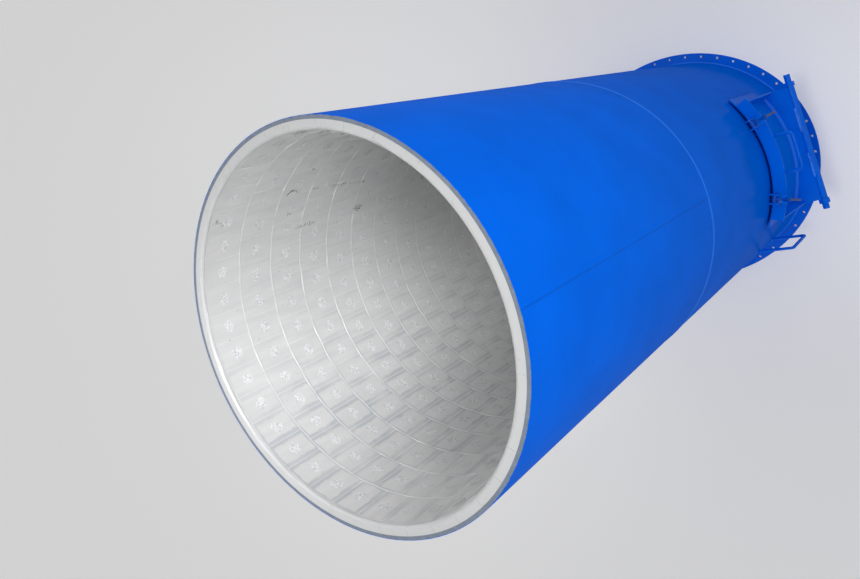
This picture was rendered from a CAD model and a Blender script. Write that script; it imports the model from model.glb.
# %% [markdown]
# # A tile-lined steel pipe section with an inspection hatch
# The real thing is a welded steel pipe, sprayed with blue gloss enamel and lined
# with alumina tiles against wear. The solids already hold its true sizes, so this
# lesson loads them, gives every part the finish of its material, and adds the
# relief that is too fine for a solid: cement plugs, weld ripples and threads.

# %% Load the solids
import math
import random

import bmesh
import bpy
from mathutils import Matrix, Vector, noise


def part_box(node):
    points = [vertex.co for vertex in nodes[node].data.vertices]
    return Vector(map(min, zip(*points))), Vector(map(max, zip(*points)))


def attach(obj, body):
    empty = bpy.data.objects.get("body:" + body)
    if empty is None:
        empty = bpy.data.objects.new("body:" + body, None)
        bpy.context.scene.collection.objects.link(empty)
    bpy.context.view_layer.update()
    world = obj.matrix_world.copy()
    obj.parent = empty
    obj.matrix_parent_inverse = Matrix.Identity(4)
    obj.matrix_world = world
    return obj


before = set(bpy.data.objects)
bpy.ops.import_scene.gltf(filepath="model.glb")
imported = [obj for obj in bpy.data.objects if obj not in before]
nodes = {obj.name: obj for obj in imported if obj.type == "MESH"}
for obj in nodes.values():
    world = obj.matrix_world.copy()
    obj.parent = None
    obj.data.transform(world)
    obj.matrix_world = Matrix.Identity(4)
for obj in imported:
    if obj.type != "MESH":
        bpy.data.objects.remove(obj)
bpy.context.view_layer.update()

# %% [markdown]
# ## The sizes that the finishes follow
# A pattern such as a tile joint must fall where the solid has it, so the few
# sizes that lay out the lining are written once, in millimetres, and the boxes
# of the solids give the rest. Angles are clock angles: from +Y towards +X.

# %% Sizes of the lining and of the hatch
MM = 0.001
TILES_ROUND = 37
RING_COUNT = 21
FIRST_TILE = math.radians(176.7)
FACE_RADIUS = 568 * MM
SHELL_RADIUS = 610 * MM
HATCH_CLOCK = math.radians(78)
OPEN_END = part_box("nose_ring")[1][2]
NOSE_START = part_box("nose_ring")[0][2]
RING_PITCH = NOSE_START / RING_COUNT
TILE_STEP = 2 * math.pi / TILES_ROUND
TILE_WIDTH = FACE_RADIUS * TILE_STEP
print("ring pitch, mm:", round(RING_PITCH / MM, 2), "tile width, mm:", round(TILE_WIDTH / MM, 1))

# %% [markdown]
# ## Colour and node helpers
# Paint charts and screens give colours as sRGB hex, but the renderer mixes
# light in linear values, so one function turns the first into the second. One
# more adds a shader node with its settings and links in a single line. It takes
# a node, a socket or a plain value for each input, so a long pattern reads like
# a sum.

# %% Colour and node helpers
def linear(hex_text):
    channels = [int(hex_text[i:i + 2], 16) / 255 for i in (1, 3, 5)]
    return [c / 12.92 if c <= 0.04045 else ((c + 0.055) / 1.055) ** 2.4 for c in channels] + [1.0]


def set_inputs(tree, node, inputs):
    for key, value in inputs.items():
        if isinstance(value, bpy.types.Node):
            value = next(socket for socket in value.outputs if socket.enabled)
        if isinstance(value, bpy.types.NodeSocket):
            tree.links.new(value, node.inputs[key])
        else:
            node.inputs[key].default_value = value


def add_node(tree, kind, inputs=None, **settings):
    node = tree.nodes.new(kind)
    for name, value in settings.items():
        setattr(node, name, value)
    set_inputs(tree, node, inputs or {})
    return node


def new_material(name, inputs):
    material = bpy.data.materials.new(name)
    material.use_nodes = True
    tree = material.node_tree
    shader = tree.nodes["Principled BSDF"]
    set_inputs(tree, shader, inputs)
    return material, tree, shader


print("plate blue, linear:", [round(c, 3) for c in linear("#0062E0")])

# %% [markdown]
# ## Blue gloss enamel
# Spray-applied gloss enamel is a coloured resin: dull pigment under a thin skin
# of clear resin with an IOR near 1.5, which shows long soft reflections. So the
# base is matt and a coat lies over it, at part weight because the skin is thin
# and dusty. The base carries orange peel, a waviness drawn 12 mm wide, coarser
# than the real 3 mm, so that it shows at this distance. Over a weld the paint
# follows the ripples of the bead instead.

# %% Blue gloss enamel
PEEL, WELD_RIPPLE, SHADE_PATCH = 12 * MM, 6 * MM, 200 * MM
PEEL_DEPTH, RIPPLE_DEPTH = 0.4 * MM, 0.8 * MM


def enamel(name, hex_text, skin, ripple=PEEL, depth=PEEL_DEPTH):
    material, tree, shader = new_material(name, {
        "IOR": 1.5, "Specular IOR Level": 0.0,
        "Coat Weight": skin, "Coat Roughness": 0.15, "Coat IOR": 1.5})
    place = add_node(tree, "ShaderNodeTexCoord").outputs["Object"]
    patch = add_node(tree, "ShaderNodeTexNoise", {
        "Vector": place, "Scale": 1 / SHADE_PATCH, "Detail": 4.0})
    peel = add_node(tree, "ShaderNodeTexNoise", {"Vector": place, "Scale": 1 / ripple, "Detail": 1.0})
    dull = add_node(tree, "ShaderNodeMapRange", {
        "Value": patch, "From Min": 0.3, "From Max": 0.75, "To Min": 0.42, "To Max": 0.6})
    shade = add_node(tree, "ShaderNodeMapRange", {
        "Value": patch, "From Min": 0.3, "From Max": 0.7, "To Min": 0.93, "To Max": 1.05})
    tint = add_node(tree, "ShaderNodeVectorMath", {
        0: linear(hex_text)[:3], "Scale": shade}, operation="SCALE")
    bump = add_node(tree, "ShaderNodeBump", {"Height": peel, "Strength": 0.3, "Distance": depth})
    set_inputs(tree, shader, {"Base Color": tint, "Roughness": dull, "Normal": bump})
    return material, tree, shader, place, tint, dull


plate_enamel, plate_tree, plate_shader, plate_place, plate_tint, plate_dull = enamel(
    "sprayed_gloss_enamel_on_plate", "#0062E0", skin=0.05)
hatch_enamel = enamel("sprayed_gloss_enamel_on_hatch", "#0068E6", skin=0.15)[0]
bolt_enamel = enamel("brushed_gloss_enamel_on_bolts", "#0054C0", skin=0.4)[0]
weld_enamel = enamel(
    "gloss_enamel_over_weld", "#0A70EE", skin=0.3, ripple=WELD_RIPPLE, depth=RIPPLE_DEPTH)[0]
bright_weld_enamel = enamel("thick_gloss_enamel_over_weld", "#2C86F5", skin=1.0, ripple=WELD_RIPPLE)[0]
print("enamels:", plate_enamel.name, hatch_enamel.name, bolt_enamel.name, weld_enamel.name)

# %% [markdown]
# ## Grime along the long seams
# Each plate course closes on a long weld. Dust gathers near the toe of its
# bead, 6 mm from the middle, so the seam reads as a thin darker line. The clock
# angles are those of the solids' weld caps, and the girth weld parts the courses.

# %% Grime along the long seams
FRONT_SEAM, REAR_SEAM = math.radians(79), math.radians(215)
GRIME_OFFSET, GRIME_CORE, GRIME_EDGE, GRIME_SHADE = 6 * MM, 1 * MM, 5 * MM, 0.85
GIRTH = sum(corner[2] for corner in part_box("girth_weld")) / 2
flat = add_node(plate_tree, "ShaderNodeVectorMath", {0: plate_place, 1: (1, 1, 0)}, operation="MULTIPLY")
height = add_node(plate_tree, "ShaderNodeSeparateXYZ", {0: plate_place}).outputs["Z"]
seam_grime = []
for seam in (REAR_SEAM, FRONT_SEAM):
    clock = seam + GRIME_OFFSET / SHELL_RADIUS
    line = (SHELL_RADIUS * math.sin(clock), SHELL_RADIUS * math.cos(clock), 0)
    away = add_node(plate_tree, "ShaderNodeVectorMath", {0: flat, 1: line}, operation="DISTANCE")
    seam_grime.append(add_node(plate_tree, "ShaderNodeMapRange", {
        "Value": away, "From Min": GRIME_CORE, "From Max": GRIME_EDGE, "To Min": GRIME_SHADE, "To Max": 1.0}))
front = add_node(plate_tree, "ShaderNodeMath", {0: height, 1: GIRTH}, operation="GREATER_THAN")
along_seam = add_node(plate_tree, "ShaderNodeMix", {
    "Factor": front, "A": seam_grime[0], "B": seam_grime[1]})
grimed = add_node(plate_tree, "ShaderNodeVectorMath", {0: plate_tint, "Scale": along_seam}, operation="SCALE")
print("seams part at", round(GIRTH / MM), "mm")

# %% [markdown]
# ## The bare end of the shell
# The painter masked the open end, so the plate's cut face is bare grey steel,
# with enamel only at its outer edge and torn by chips about 17 mm wide. The
# face is found from its place: it is the last half millimetre of the pipe's
# length, inside the painted edge.

# %% Bare steel at the open end
PAINTED_EDGE, CHIP, CHIP_DEPTH, END_SKIN = 606 * MM, 17 * MM, 5 * MM, 0.5 * MM
radius = add_node(plate_tree, "ShaderNodeVectorMath", {0: flat}, operation="LENGTH").outputs["Value"]
chips = add_node(plate_tree, "ShaderNodeTexNoise", {
    "Vector": plate_place, "Scale": 1 / CHIP, "Detail": 5.0, "Roughness": 0.65})
torn = add_node(plate_tree, "ShaderNodeMath", {
    0: chips, 1: CHIP_DEPTH, 2: PAINTED_EDGE}, operation="MULTIPLY_ADD")
inner = add_node(plate_tree, "ShaderNodeMath", {0: radius, 1: torn}, operation="LESS_THAN")
last = add_node(plate_tree, "ShaderNodeMath", {0: height, 1: OPEN_END - END_SKIN}, operation="GREATER_THAN")
bare = add_node(plate_tree, "ShaderNodeMath", {0: inner, 1: last}, operation="MULTIPLY")
steel = add_node(plate_tree, "ShaderNodeMix", {
    "Factor": chips, "A": linear("#69737F"), "B": linear("#8E98A5")}, data_type="RGBA")
set_inputs(plate_tree, plate_shader, {
    "Base Color": add_node(plate_tree, "ShaderNodeMix", {
        "Factor": bare, "A": grimed, "B": steel}, data_type="RGBA"),
    "Roughness": add_node(plate_tree, "ShaderNodeMix", {"Factor": bare, "A": plate_dull, "B": 0.45}),
    "Metallic": add_node(plate_tree, "ShaderNodeMath", {0: bare, 1: 0.5}, operation="MULTIPLY")})
print("bare steel inside", round(PAINTED_EDGE / MM), "mm")

# %% [markdown]
# ## Where a point lies on its tile
# The joints and the resin smears follow the tile layout, which no image knows.
# So the shader counts rings down the pipe and tiles round it, with every other
# ring half a tile on, and keeps the fraction: how far the point is from the
# nearest joint, across the tile and along it.

# %% Where a point lies on its tile
def gaps_to_joints(tree, place):
    split = add_node(tree, "ShaderNodeSeparateXYZ", {0: place}).outputs
    clock = add_node(tree, "ShaderNodeMath", {0: split["X"], 1: split["Y"]}, operation="ARCTAN2")
    rings = add_node(tree, "ShaderNodeMath", {
        0: split["Z"], 1: -1 / RING_PITCH, 2: NOSE_START / RING_PITCH}, operation="MULTIPLY_ADD")
    ring = add_node(tree, "ShaderNodeMath", {0: rings}, operation="FLOOR")
    half = add_node(tree, "ShaderNodeMath", {0: ring, 1: 0.5}, operation="MULTIPLY")
    tiles = add_node(tree, "ShaderNodeMath", {
        0: clock, 1: 1 / TILE_STEP, 2: 0.5 - FIRST_TILE / TILE_STEP}, operation="MULTIPLY_ADD")
    shifted = add_node(tree, "ShaderNodeMath", {0: tiles, 1: half}, operation="ADD")
    grid = add_node(tree, "ShaderNodeCombineXYZ", {"X": shifted, "Y": rings})
    part = add_node(tree, "ShaderNodeVectorMath", {0: grid}, operation="FRACTION")
    middle = add_node(tree, "ShaderNodeVectorMath", {0: part, 1: (0.5, 0.5, 0)}, operation="SUBTRACT")
    offset = add_node(tree, "ShaderNodeVectorMath", {0: middle}, operation="ABSOLUTE")
    inset = add_node(tree, "ShaderNodeVectorMath", {0: (0.5, 0.5, 0), 1: offset}, operation="SUBTRACT")
    scaled = add_node(tree, "ShaderNodeVectorMath", {
        0: inset, 1: (TILE_WIDTH, RING_PITCH, 0)}, operation="MULTIPLY")
    return add_node(tree, "ShaderNodeSeparateXYZ", {0: scaled}).outputs

# %% [markdown]
# ## Alumina wear tiles
# The tiles are pressed and fired alumina, a dull, nearly white ceramic with an
# IOR of 1.76. Resin squeezed out of the joints was wiped along them, so a band
# about 14 mm wide beside each joint is smoother, and greyer where it lies
# thick, on the lower side of the bore. It is cloudy and patchy, and narrower
# beside the joints between rings. The wiping drew streaks along the pipe.

# %% Alumina wear tiles
BAND, BAND_WANDER, WOBBLE, STREAK, PATCH = 14 * MM, 20 * MM, 34 * MM, 30 * MM, 140 * MM
RING_BAND_NARROWING, JOINT_EDGE, JOINT_CORE = 1.8, 2 * MM, 1 * MM
LOW_START, LOW_END, SMEAR_RELIEF = -100 * MM, -450 * MM, 2 * MM
tile_ceramic, tile_tree, tile_shader = new_material("fired_alumina_tile", {"IOR": 1.76})
tile_spot = add_node(tile_tree, "ShaderNodeTexCoord").outputs["Object"]
gaps = gaps_to_joints(tile_tree, tile_spot)
wobble = add_node(tile_tree, "ShaderNodeTexNoise", {
    "Vector": tile_spot, "Scale": 1 / WOBBLE, "Detail": 3.0})
nearest = add_node(tile_tree, "ShaderNodeMath", {0: gaps["X"], 1: gaps["Y"]}, operation="MINIMUM")
wide = add_node(tile_tree, "ShaderNodeMath", {
    0: gaps["Y"], 1: RING_BAND_NARROWING}, operation="MULTIPLY")
smeared = add_node(tile_tree, "ShaderNodeMath", {0: gaps["X"], 1: wide}, operation="MINIMUM")
wander = add_node(tile_tree, "ShaderNodeMath", {
    0: wobble, 1: BAND_WANDER, 2: smeared}, operation="MULTIPLY_ADD")
band = add_node(tile_tree, "ShaderNodeMapRange", {
    "Value": wander, "From Min": BAND + 0.72 * BAND_WANDER, "From Max": BAND + 0.35 * BAND_WANDER},
    interpolation_type="SMOOTHSTEP")
joint = add_node(tile_tree, "ShaderNodeMapRange", {
    "Value": nearest, "From Min": JOINT_EDGE, "From Max": JOINT_CORE})
upright = add_node(tile_tree, "ShaderNodeSeparateXYZ", {0: tile_spot}).outputs["Y"]
low_side = add_node(tile_tree, "ShaderNodeMapRange", {
    "Value": upright, "From Min": LOW_START, "From Max": LOW_END, "To Min": 0.05, "To Max": 0.4})
cloud = add_node(tile_tree, "ShaderNodeTexNoise", {"Vector": tile_spot, "Scale": 1 / PATCH, "Detail": 3.0})
thick = add_node(tile_tree, "ShaderNodeMapRange", {
    "Value": cloud, "From Min": 0.38, "From Max": 0.6, "To Min": 0.35, "To Max": 1.4})
low_band = add_node(tile_tree, "ShaderNodeMath", {0: band, 1: low_side}, operation="MULTIPLY")
smear = add_node(tile_tree, "ShaderNodeMath", {0: low_band, 1: thick}, operation="MULTIPLY")
drawn = add_node(tile_tree, "ShaderNodeVectorMath", {0: tile_spot, 1: (1, 1, 0.2)}, operation="MULTIPLY")
streaks = add_node(tile_tree, "ShaderNodeTexNoise", {"Vector": drawn, "Scale": 1 / STREAK, "Detail": 4.0})
body = add_node(tile_tree, "ShaderNodeMix", {
    "Factor": streaks, "A": linear("#D3D4D4"), "B": linear("#EBEBEA")}, data_type="RGBA")
resin = add_node(tile_tree, "ShaderNodeMix", {
    "Factor": smear, "A": body, "B": linear("#ABB2B9")}, data_type="RGBA")
pale = add_node(tile_tree, "ShaderNodeMath", {0: joint, 1: 0.5}, operation="MULTIPLY")
relief = add_node(tile_tree, "ShaderNodeMath", {0: band, 1: 0.15, 2: wobble}, operation="MULTIPLY_ADD")
set_inputs(tile_tree, tile_shader, {
    "Base Color": add_node(tile_tree, "ShaderNodeMix", {
        "Factor": pale, "A": resin, "B": linear("#F0F1F2")}, data_type="RGBA"),
    "Roughness": add_node(tile_tree, "ShaderNodeMapRange", {"Value": band, "To Min": 0.4, "To Max": 0.28}),
    "Normal": add_node(tile_tree, "ShaderNodeBump", {
        "Height": relief, "Strength": 0.35, "Distance": SMEAR_RELIEF})})
print("tile material:", tile_ceramic.name, "nodes:", len(tile_tree.nodes))

# %% [markdown]
# ## Nose blocks, cement, resin and thread
# The nose blocks are the same ceramic, handled more, so they carry fine stains.
# The cement over the tile plugs sets wet and glossy and wrinkles like skin on
# paint: its crests stay pale and its creases hold grime, 9 mm apart. Resin
# stands in thin glossy beads on the joints. The bolts' threads are bare rolled
# steel, a metal gone brown with old grease.

# %% Nose blocks, cement, resin and thread
STAIN, WRINKLE, WRINKLE_DEPTH = 40 * MM, 9 * MM, 3 * MM
nose_ceramic, nose_tree, nose_shader = new_material("fired_alumina_nose_block", {
    "IOR": 1.76, "Roughness": 0.3})
nose_spot = add_node(nose_tree, "ShaderNodeTexCoord").outputs["Object"]
stain = add_node(nose_tree, "ShaderNodeTexNoise", {
    "Vector": nose_spot, "Scale": 1 / STAIN, "Detail": 6.0, "Roughness": 0.7})
stained = add_node(nose_tree, "ShaderNodeMapRange", {
    "Value": stain, "From Min": 0.58, "From Max": 0.75, "To Max": 0.6})
set_inputs(nose_tree, nose_shader, {"Base Color": add_node(nose_tree, "ShaderNodeMix", {
    "Factor": stained, "A": linear("#C6C7C8"), "B": linear("#A09D95")}, data_type="RGBA")})

cement, cement_tree, cement_shader = new_material("wrinkled_plug_cement", {
    "IOR": 1.55, "Roughness": 0.12})
cement_spot = add_node(cement_tree, "ShaderNodeTexCoord").outputs["Object"]
wrinkle = add_node(cement_tree, "ShaderNodeTexNoise", {
    "Vector": cement_spot, "Scale": 1 / WRINKLE, "Detail": 2.0, "Distortion": 1.5})
crest = add_node(cement_tree, "ShaderNodeMapRange", {"Value": wrinkle, "From Min": 0.42, "From Max": 0.56})
set_inputs(cement_tree, cement_shader, {
    "Base Color": add_node(cement_tree, "ShaderNodeMix", {
        "Factor": crest, "A": linear("#DCDDDF"), "B": linear("#FAFBFC")}, data_type="RGBA"),
    "Normal": add_node(cement_tree, "ShaderNodeBump", {
        "Height": wrinkle, "Strength": 0.6, "Distance": WRINKLE_DEPTH})})

bead_resin = new_material("set_resin_bead", {
    "Base Color": linear("#E9EAEA"), "IOR": 1.5, "Roughness": 0.35})[0]
threads = new_material("rolled_steel_thread", {
    "Base Color": linear("#6B6655"), "Metallic": 0.8, "Roughness": 0.45})[0]
print("materials:", nose_ceramic.name, cement.name, bead_resin.name, threads.name)

# %% [markdown]
# ## Finishing the solids
# Every solid keeps its shape and takes the finish of what it is made of.

# %% Finish the solids
WELDS = ("girth_weld", "flange_weld", "door_weld")
for name, solid in nodes.items():
    if name.startswith("tile_ring") or name == "door_lining":
        finish = tile_ceramic
    elif name == "nose_ring":
        finish = nose_ceramic
    elif name in WELDS:
        finish = weld_enamel
    elif name.startswith("shell"):
        finish = plate_enamel
    elif name.startswith("swing"):
        finish = bolt_enamel
    else:
        finish = hatch_enamel
    solid.data.materials.clear()
    solid.data.materials.append(finish)
print("finished:", len(nodes))

# %% [markdown]
# ## Cement plugs
# Each tile is held by a weld through its middle, and the hole is filled with
# cement that sets as a glossy, wrinkled lump about 44 mm across. One could
# sculpt each, but there are hundreds, so six lumps are made from an inset
# circle pushed about by noise, and each tile takes one, turned at random. Both
# the draws and the noise get a seed, so that every run makes the same lumps.

# %% Putting a made shape on the pipe
def round_pipe(clock, radius, z):
    return Vector((radius * math.sin(clock), radius * math.cos(clock), z))


def as_piece(name, shape, material, body):
    mesh = bpy.data.meshes.new(name)
    shape.to_mesh(mesh)
    shape.free()
    mesh.materials.append(material)
    piece = bpy.data.objects.new(name, mesh)
    bpy.context.scene.collection.objects.link(piece)
    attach(piece, body)
    print(name, "faces:", len(mesh.polygons))
    return piece


def add_copy(target, shape, matrix):
    one = shape.copy()
    bmesh.ops.transform(one, matrix=matrix, verts=one.verts)
    scratch = bpy.data.meshes.new("scratch")
    one.to_mesh(scratch)
    one.free()
    target.from_mesh(scratch)
    bpy.data.meshes.remove(scratch)


# %% A lump of cement
LUMP_RADIUS, LUMP_PUSH, LUMP_RISE = 22 * MM, 7 * MM, 2.6 * MM
LUMP_KINDS, LUMP_SIDES, NOISE_SHIFT = 6, 14, 7.3
LUMP_STEPS = ((3 * MM, 1.6 * MM), (5 * MM, 0.8 * MM), (6 * MM, -1 * MM))
draw = random.Random(7)
noise.seed_set(7)


def cement_lump(seed):
    lump = bmesh.new()
    bmesh.ops.create_circle(lump, cap_ends=True, segments=LUMP_SIDES, radius=LUMP_RADIUS)
    for inset, rise in LUMP_STEPS:
        middle = max(lump.faces, key=lambda face: len(face.verts))
        bmesh.ops.inset_region(lump, faces=[middle], thickness=inset)
        middle = max(lump.faces, key=lambda face: len(face.verts))
        bmesh.ops.translate(lump, verts=middle.verts, vec=(0, 0, rise))
    for vert in lump.verts:
        push = noise.noise_vector(vert.co / WRINKLE + Vector((seed * NOISE_SHIFT, 0, 0)))
        rise = 0 if vert.is_boundary else push.z * LUMP_RISE
        vert.co += Vector((push.x * LUMP_PUSH, push.y * LUMP_PUSH, rise))
    return lump


lumps = [cement_lump(seed) for seed in range(LUMP_KINDS)]
print("lumps:", len(lumps), "faces each:", len(lumps[0].faces))

# %% Plugs on every tile
OPENING_HALF, OPENING_EDGE, PLUG_STANDOFF = math.radians(26), 30 * MM, 0.2 * MM
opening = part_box("hatch_collar")


def in_opening(clock, z):
    off = (clock - HATCH_CLOCK + math.pi) % (2 * math.pi) - math.pi
    tall = opening[0][2] - OPENING_EDGE < z < opening[1][2] + OPENING_EDGE
    return abs(off) < OPENING_HALF and tall


def tile_face(clock, ring):
    tiles = (clock - FIRST_TILE) / TILE_STEP - 0.5 * (ring % 2)
    return FACE_RADIUS / math.cos((tiles - round(tiles)) * TILE_STEP)


def onto_tile(ring, tile, turn, lift):
    clock = FIRST_TILE + tile * TILE_STEP
    place = round_pipe(clock, tile_face(clock, int(ring)) - lift, NOSE_START - ring * RING_PITCH)
    stand = Matrix.Rotation(-clock, 4, "Z") @ Matrix.Rotation(math.radians(90), 4, "X")
    return Matrix.Translation(place) @ stand @ Matrix.Rotation(turn, 4, "Z")


all_plugs = bmesh.new()
for ring in range(RING_COUNT):
    for count in range(TILES_ROUND):
        tile = count + 0.5 * (ring % 2)
        if not in_opening(FIRST_TILE + tile * TILE_STEP, NOSE_START - (ring + 0.5) * RING_PITCH):
            turn = draw.uniform(0, 2 * math.pi)
            add_copy(all_plugs, draw.choice(lumps), onto_tile(ring + 0.5, tile, turn, -PLUG_STANDOFF))
for lump in lumps:
    lump.free()
as_piece("cement_plugs", all_plugs, cement, "pipe")

# %% [markdown]
# ## Resin beads on the ring joints
# Between one ring of tiles and the next the resin stands proud in a thin wavy
# bead about 3 mm wide. A small V is spun once round the pipe, and then each of
# its points is moved onto the flat faces of the tiles and pushed off its line
# by a smooth noise, and swollen or sunk by the same noise, as by hand.

# %% Resin beads on the ring joints
BEAD_HALF, BEAD_FOOT, BEAD_CREST = 1.4 * MM, 0.6 * MM, -0.5 * MM
BEAD_SWELL, BEAD_SWAY, SWAY_LENGTH = 1.2 * MM, 7 * MM, 70 * MM


def resin_bead(beads, ring):
    z = NOSE_START - ring * RING_PITCH
    section = ((BEAD_FOOT, -BEAD_HALF), (BEAD_CREST, 0), (BEAD_FOOT, BEAD_HALF))
    verts = [beads.verts.new((0, FACE_RADIUS + lift, z + step)) for lift, step in section]
    edges = [beads.edges.new(pair) for pair in zip(verts, verts[1:])]
    bmesh.ops.spin(beads, geom=verts + edges, cent=(0, 0, 0), axis=(0, 0, 1),
                   angle=2 * math.pi, steps=4 * TILES_ROUND, use_merge=True)


def lay_on_tiles(vert):
    ring = round((NOSE_START - vert.co.z) / RING_PITCH)
    clock = math.atan2(vert.co.x, vert.co.y)
    wall = min(tile_face(clock, ring - 1), tile_face(clock, ring)) / FACE_RADIUS
    sway, swell = noise.noise_vector(vert.co / SWAY_LENGTH).xy
    grow = wall - swell * BEAD_SWELL / FACE_RADIUS
    vert.co = Vector((vert.co.x * grow, vert.co.y * grow, vert.co.z + sway * BEAD_SWAY))


beads = bmesh.new()
for ring in range(RING_COUNT):
    resin_bead(beads, ring)
for vert in beads.verts:
    lay_on_tiles(vert)
across_hatch = [vert for vert in beads.verts if in_opening(math.atan2(vert.co.x, vert.co.y), vert.co.z)]
bmesh.ops.delete(beads, geom=across_hatch, context="VERTS")
bmesh.ops.recalc_face_normals(beads, faces=beads.faces)
if sum(face.normal.dot(face.verts[0].co * Vector((1, 1, 0))) for face in beads.faces) > 0:
    bmesh.ops.reverse_faces(beads, faces=beads.faces)
as_piece("resin_beads", beads, bead_resin, "pipe")

# %% [markdown]
# ## Dirt on the lining
# Handling has left a hooked scuff, a broken scratch and a few smudges on one
# side of the bore, with rusty specks among them. Each is a scatter of crumbs, 2
# to 5 mm wide, along a short path. A path is given as a ring and a tile, counted
# from the open end and from the lowest tile, so that it keeps its place on the
# tiles when their size changes.

# %% Dirt on the lining
CRUMB, CRUMB_LIFT = (0.8 * MM, 2.4 * MM), 0.3 * MM


def scuff(dirt, start, end, spread, count):
    for i in range(count):
        ring, tile = Vector(start).lerp(Vector(end), draw.random())
        ring, tile = draw.gauss(ring, spread / RING_PITCH), draw.gauss(tile, spread / TILE_WIDTH)
        clock, z = FIRST_TILE + tile * TILE_STEP, NOSE_START - ring * RING_PITCH
        if not 0 < ring < RING_COUNT or in_opening(clock, z):
            continue
        place = onto_tile(ring, tile, draw.uniform(0, math.pi), CRUMB_LIFT)
        shape = Matrix.Diagonal((draw.uniform(*CRUMB), draw.uniform(*CRUMB), 1, 1))
        bmesh.ops.create_circle(dirt, cap_ends=True, segments=6, radius=1, matrix=place @ shape)


grime = bmesh.new()
scuff(grime, start=(2.2, 13.5), end=(2.3, 13.7), spread=1.5 * MM, count=45)
scuff(grime, start=(2.3, 13.7), end=(2.5, 13.6), spread=2 * MM, count=20)
scuff(grime, start=(3.0, 13.55), end=(5.3, 13.25), spread=4 * MM, count=90)
scuff(grime, start=(2.8, 11.9), end=(3.5, 11.9), spread=4 * MM, count=45)
scuff(grime, start=(5.0, 12.0), end=(5.3, 12.0), spread=8 * MM, count=60)
scuff(grime, start=(6.1, 12.0), end=(6.9, 11.9), spread=7 * MM, count=24)
scuff(grime, start=(8.0, 12.7), end=(8.0, 12.6), spread=12 * MM, count=40)
scuff(grime, start=(0.1, 13.1), end=(0.4, 12.9), spread=5 * MM, count=24)
rust = bmesh.new()
scuff(rust, start=(2.7, 14.6), end=(2.7, 14.6), spread=3 * MM, count=14)
scuff(rust, start=(2.5, 13.5), end=(2.6, 13.5), spread=3 * MM, count=10)
scuff(rust, start=(2.4, 12.6), end=(2.5, 12.6), spread=5 * MM, count=10)
scuff(rust, start=(5.1, 12.0), end=(5.2, 12.0), spread=6 * MM, count=16)
scuff(rust, start=(0.5, 8), end=(8, 12), spread=150 * MM, count=60)
dry_grime = new_material("dry_grime", {"Base Color": linear("#4B473D"), "Roughness": 0.8})[0]
rust_dust = new_material("rust_dust", {"Base Color": linear("#94713C"), "Roughness": 0.8})[0]
as_piece("dark_scuffs", grime, dry_grime, "pipe")
as_piece("rusty_specks", rust, rust_dust, "pipe")

# %% [markdown]
# ## Rolled threads
# The swing bolts show a thread outside their nuts. A thread is one small V
# carried round the bar while it moves along it, which is what the spin operator
# does when it is given a step along its axis.

# %% Rolled threads
BOLT_CLOCKS = {"upper": math.radians(-15.6), "lower": math.radians(16.6)}
BOLT_Z, THREAD_START, THREAD_LENGTH = 906 * MM, SHELL_RADIUS + 80 * MM, 38 * MM
THREAD_RADIUS, THREAD_PITCH, THREAD_DEPTH, TURN_STEPS = 5 * MM, 1.5 * MM, 0.35 * MM, 16
THREAD_FOOT, MERGE_DISTANCE = -0.1 * MM, 0.01 * MM


def thread(name, centre, axis, body):
    shape = bmesh.new()
    out = axis.orthogonal().normalized()
    section = ((THREAD_FOOT, 0), (THREAD_DEPTH, THREAD_PITCH / 2), (THREAD_FOOT, THREAD_PITCH))
    verts = [shape.verts.new(centre + out * (THREAD_RADIUS + rise) + axis * step) for rise, step in section]
    edges = [shape.edges.new(pair) for pair in zip(verts, verts[1:])]
    turns = int(THREAD_LENGTH / THREAD_PITCH)
    bmesh.ops.spin(shape, geom=verts + edges, cent=centre, axis=axis, angle=2 * math.pi * turns,
                   dvec=axis * THREAD_PITCH / TURN_STEPS, steps=TURN_STEPS * turns)
    bmesh.ops.remove_doubles(shape, verts=shape.verts, dist=MERGE_DISTANCE)
    bmesh.ops.recalc_face_normals(shape, faces=shape.faces)
    return as_piece(name, shape, threads, body)


for side, angle in BOLT_CLOCKS.items():
    clock = HATCH_CLOCK + angle
    start, out = round_pipe(clock, THREAD_START, BOLT_Z), round_pipe(clock, 1, 0)
    thread("swing_bolt_thread_" + side, start, out, side + "_bolt")

# %% [markdown]
# ## Weld beads on the knuckles
# A hand-laid weld freezes as a row of overlapping scales. Along the hinge rib
# two such welds hold the door's knuckles. Each is a row of balls of uneven size.

# %% Weld beads on the knuckles
WELD_SPANS = ((-172 * MM, -60 * MM), (52 * MM, 164 * MM))
WELD_RADIUS, WELD_STEP, WELD_PLACE = 5.5 * MM, 8 * MM, (SHELL_RADIUS + 85 * MM, 496 * MM)
across = round_pipe(HATCH_CLOCK + math.pi / 2, 1, 0)


def weld_bead(name, first, last):
    bead = bmesh.new()
    middle = round_pipe(HATCH_CLOCK, *WELD_PLACE)
    count = int((last - first) / WELD_STEP)
    for i in range(count + 1):
        ball = Matrix.Translation(middle + across * (first + (last - first) * i / count))
        size = WELD_RADIUS * draw.uniform(0.7, 1.15)
        bmesh.ops.create_uvsphere(bead, u_segments=10, v_segments=6, radius=size, matrix=ball)
    return as_piece(name, bead, bright_weld_enamel, "hatch_door")


for number, (first, last) in enumerate(WELD_SPANS, 1):
    weld_bead("knuckle_weld_%d" % number, first, last)

# %% [markdown]
# ## Floor and world
# A plain pale floor and soft lamps show the finish without drama. The floor and
# the world are paler where they are looked at or mirrored than as light, so
# that the background is pale and the object isn't lit from all sides.

# %% Floor and world
FLOOR_SIZE, FLOOR_LIFT, WORLD_LIGHT = 20, 0.16, 0.52


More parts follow.
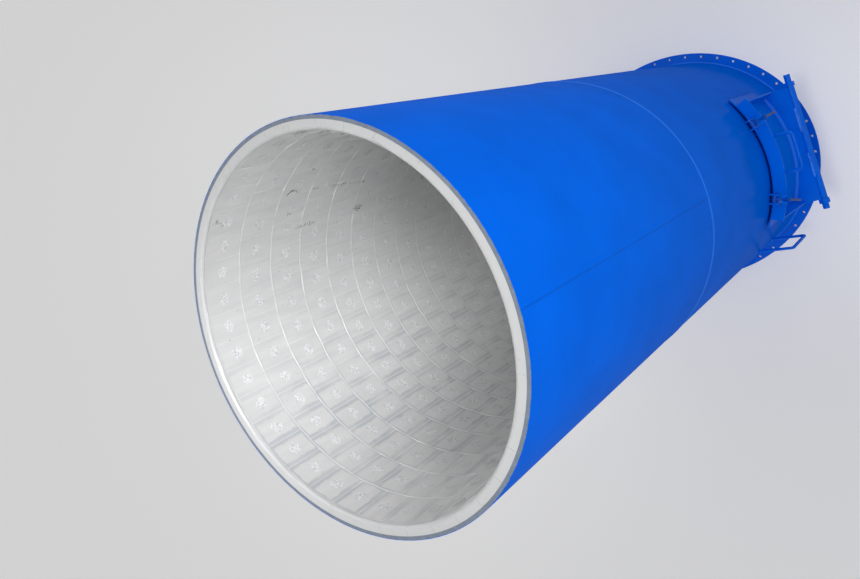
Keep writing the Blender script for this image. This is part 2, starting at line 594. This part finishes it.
def seen_or_mirrored(tree):
    path = add_node(tree, "ShaderNodeLightPath").outputs
    mirrored = add_node(tree, "ShaderNodeMath", {
        0: path["Is Glossy Ray"], 1: path["Is Transmission Ray"]}, operation="MAXIMUM")
    return add_node(tree, "ShaderNodeMath", {0: path["Is Camera Ray"], 1: mirrored}, operation="MAXIMUM")


floor_shape = bmesh.new()
bmesh.ops.create_grid(floor_shape, x_segments=1, y_segments=1, size=FLOOR_SIZE)
floor_mesh = bpy.data.meshes.new("floor")
floor_shape.to_mesh(floor_mesh)
floor_shape.free()
floor = bpy.data.objects.new("floor", floor_mesh)
bpy.context.scene.collection.objects.link(floor)
pale_floor, floor_tree, floor_shader = new_material("pale_studio_floor", {
    "Base Color": linear("#F2F2F2"), "Roughness": 0.9, "Emission Color": (1, 1, 1, 1)})
set_inputs(floor_tree, floor_shader, {"Emission Strength": add_node(floor_tree, "ShaderNodeMath", {
    0: seen_or_mirrored(floor_tree), 1: FLOOR_LIFT}, operation="MULTIPLY")})
floor_mesh.materials.append(pale_floor)

world = bpy.data.worlds.new("studio")
bpy.context.scene.world = world
world.use_nodes = True
set_inputs(world.node_tree, world.node_tree.nodes["Background"], {
    "Color": (1, 1, 1, 1), "Strength": add_node(world.node_tree, "ShaderNodeMapRange", {
        "Value": seen_or_mirrored(world.node_tree), "To Min": WORLD_LIGHT, "To Max": 1.0})})
print("floor and world ready")

# %% [markdown]
# ## Lamps
# Five soft lamps: a key over the open end, a narrow one into the bore so that
# the lining shows, two fills for the side and the top, and a small one that
# grazes the shell and falls on the faces of the hatch.

# %% Lamps
def soft_lamp(name, place, target, size, power, spread):
    data = bpy.data.lights.new(name, "AREA")
    data.size, data.energy, data.spread = size, power, math.radians(spread)
    lamp = bpy.data.objects.new(name, data)
    bpy.context.scene.collection.objects.link(lamp)
    lamp.location = place
    lamp.rotation_euler = (Vector(target) - Vector(place)).to_track_quat("-Z", "Y").to_euler()
    lamp.visible_camera = False
    return lamp


soft_lamp("key", (3.4, 0.9, 6.2), (-0.3, -0.1, 2.7), 1.4, 7, 44)
soft_lamp("bore_lamp", (1.2, 0.9, 7.0), (-0.4, -0.25, 2.6), 0.6, 1.8, 14)
soft_lamp("side_lamp", (3.4, 0.9, 4.0), (0.5, 0, 2.9), 1.6, 3.8, 70)
soft_lamp("top_lamp", (0.8, 3.4, 3.6), (0, 0.5, 2.4), 1.6, 2.6, 60)
soft_lamp("hatch_lamp", (1.2, 0.3, 7.5), (0.8, 0.15, 0.8), 1.4, 1, 14)
print("lamps ready")

# %% [markdown]
# ## Camera
# The camera stands beside the open end and looks into it. The pipe stands on
# its flange, so the picture's up is the +Y side, and a small roll levels it.

# %% Camera
CAMERA_PLACE, AIM = Vector((1.366, 0.574, 4.575)), Vector((0, 0.272, 3.196))
CAMERA_ROLL = math.radians(-8.7)
lens = bpy.data.cameras.new("view")
lens.lens, lens.sensor_width = 29.8, 36
lens.shift_x, lens.shift_y = 0.133, -0.0595
forward = (AIM - CAMERA_PLACE).normalized()
right = forward.cross(Vector((0, 1, 0))).normalized()
axes = Matrix((right, right.cross(forward), -forward)).transposed().to_4x4()
camera = bpy.data.objects.new("view", lens)
bpy.context.scene.collection.objects.link(camera)
camera.matrix_world = Matrix.Translation(CAMERA_PLACE) @ axes @ Matrix.Rotation(CAMERA_ROLL, 4, "Z")
bpy.context.scene.camera = camera
bpy.context.scene.view_settings.view_transform = "Standard"
print("camera at", tuple(round(c, 2) for c in CAMERA_PLACE))

# %% [markdown]
# ## Measure and finish
# The box of the finished model is written beside the box of the solids. The two
# should agree, because no finish may reach past the real thing's size.
